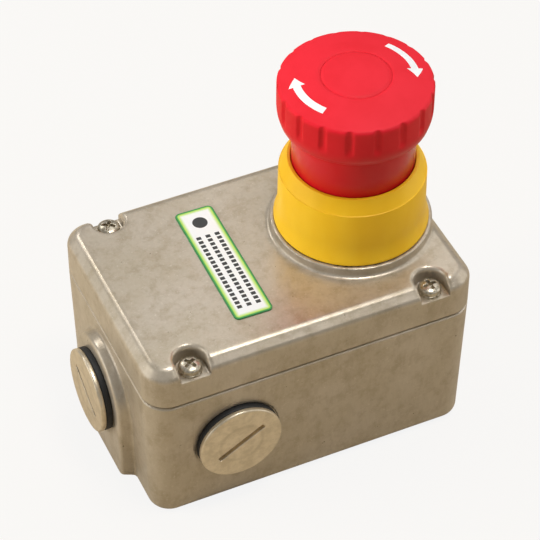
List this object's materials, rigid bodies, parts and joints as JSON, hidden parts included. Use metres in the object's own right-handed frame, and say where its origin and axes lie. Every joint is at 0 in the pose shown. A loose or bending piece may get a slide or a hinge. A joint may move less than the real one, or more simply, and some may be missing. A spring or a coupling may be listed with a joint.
{
  "type": "emergency stop push button station",
  "caption": "Emergency stop station: cast stainless box with plugged conduit entries and a twist-release red mushroom button in a yellow collar on its lid.",
  "frame": {"origin": "centre of the rear face, which is also the centre of the four tapped fixing holes", "axes": "+Z out of the lid along the button's axis, +X along the box towards the button's end, +Y across the box, away from the long side with the front plug"},
  "size_m": [0.0989, 0.0674, 0.1051],
  "materials": {
    "cast_stainless": "tumbled cast stainless steel, satin with faint mottling",
    "plug_steel": "turned stainless steel, satin",
    "screw_steel": "bright stainless steel",
    "spring_steel": "drawn and pressed steel",
    "brass": "pressed brass",
    "black_rubber": "smooth rubber",
    "label_film": "printed film",
    "red_plastic": "moulded red plastic, semi-matt",
    "yellow_plastic": "moulded yellow plastic, semi-matt",
    "white_plastic": "moulded natural plastic",
    "grey_plastic": "moulded grey plastic",
    "black_plastic": "moulded black plastic",
    "dark_red_plastic": "moulded dark red plastic",
    "green_plastic": "moulded green plastic"
  },
  "bodies": {
    "enclosure": {"enclosure_body": "cast_stainless", "enclosure_lid": "cast_stainless", "lid_gasket": "black_rubber", "lid_screws": "screw_steel", "lid_screw_washers": "screw_steel", "left_entry_plug": "plug_steel", "front_entry_plug": "plug_steel", "back_entry_plug": "plug_steel", "left_plug_seal": "black_rubber", "front_plug_seal": "black_rubber", "back_plug_seal": "black_rubber", "earth_screw": "brass", "earth_clamp": "brass", "lid_label": "label_film", "yellow_collar": "yellow_plastic", "collar_seal": "black_rubber", "actuator_barrel": "grey_plastic", "barrel_wiper_seal": "black_rubber", "barrel_washer": "spring_steel", "barrel_nut": "spring_steel", "return_spring": "spring_steel", "contact_carrier": "black_plastic", "nc_block_housings": "dark_red_plastic", "nc_fixed_contacts": "brass", "nc_clamp_plates": "spring_steel", "nc_terminal_screws": "screw_steel", "nc_springs": "spring_steel", "no_block_housing": "green_plastic", "no_fixed_contacts": "brass", "no_clamp_plates": "spring_steel", "no_terminal_screws": "screw_steel", "no_spring": "spring_steel"},
    "push_core": {"push_plate": "white_plastic"},
    "head": {"mushroom_head": "red_plastic", "head_cap": "red_plastic", "head_screw": "screw_steel", "spindle": "spring_steel", "cam_sleeve": "white_plastic", "spindle_circlip": "spring_steel"},
    "nc_contacts": {"nc_plungers": "white_plastic", "nc_bridges": "brass"},
    "no_contacts": {"no_plunger": "white_plastic", "no_bridge": "brass"}
  },
  "joints": [
    {"name": "button_push", "type": "slide", "parent": "enclosure", "child": "push_core", "axis": [0, 0, -1], "range_m": [0, 0.005], "stiffness_N_per_m": 2000, "springref_m": -0.005, "deforming": ["return_spring"]},
    {"name": "button_twist", "type": "hinge", "parent": "push_core", "child": "head", "pos_m": [0.0247, 0.001, 0.1], "axis": [0, 0, -1], "range_deg": [0, 35], "stiffness_Nm_per_rad": 0.15, "springref_deg": -20.05},
    {"name": "nc_travel", "type": "slide", "parent": "enclosure", "child": "nc_contacts", "axis": [0, 0, -1], "range_m": [0, 0.005], "deforming": ["nc_springs"]},
    {"name": "no_travel", "type": "slide", "parent": "enclosure", "child": "no_contacts", "axis": [0, 0, -1], "range_m": [0, 0.005], "deforming": ["no_spring"]}
  ],
  "couplings": [
    {"joint": "nc_travel", "follows": "button_push", "ratio": 1},
    {"joint": "no_travel", "follows": "button_push", "ratio": 1}
  ]
}
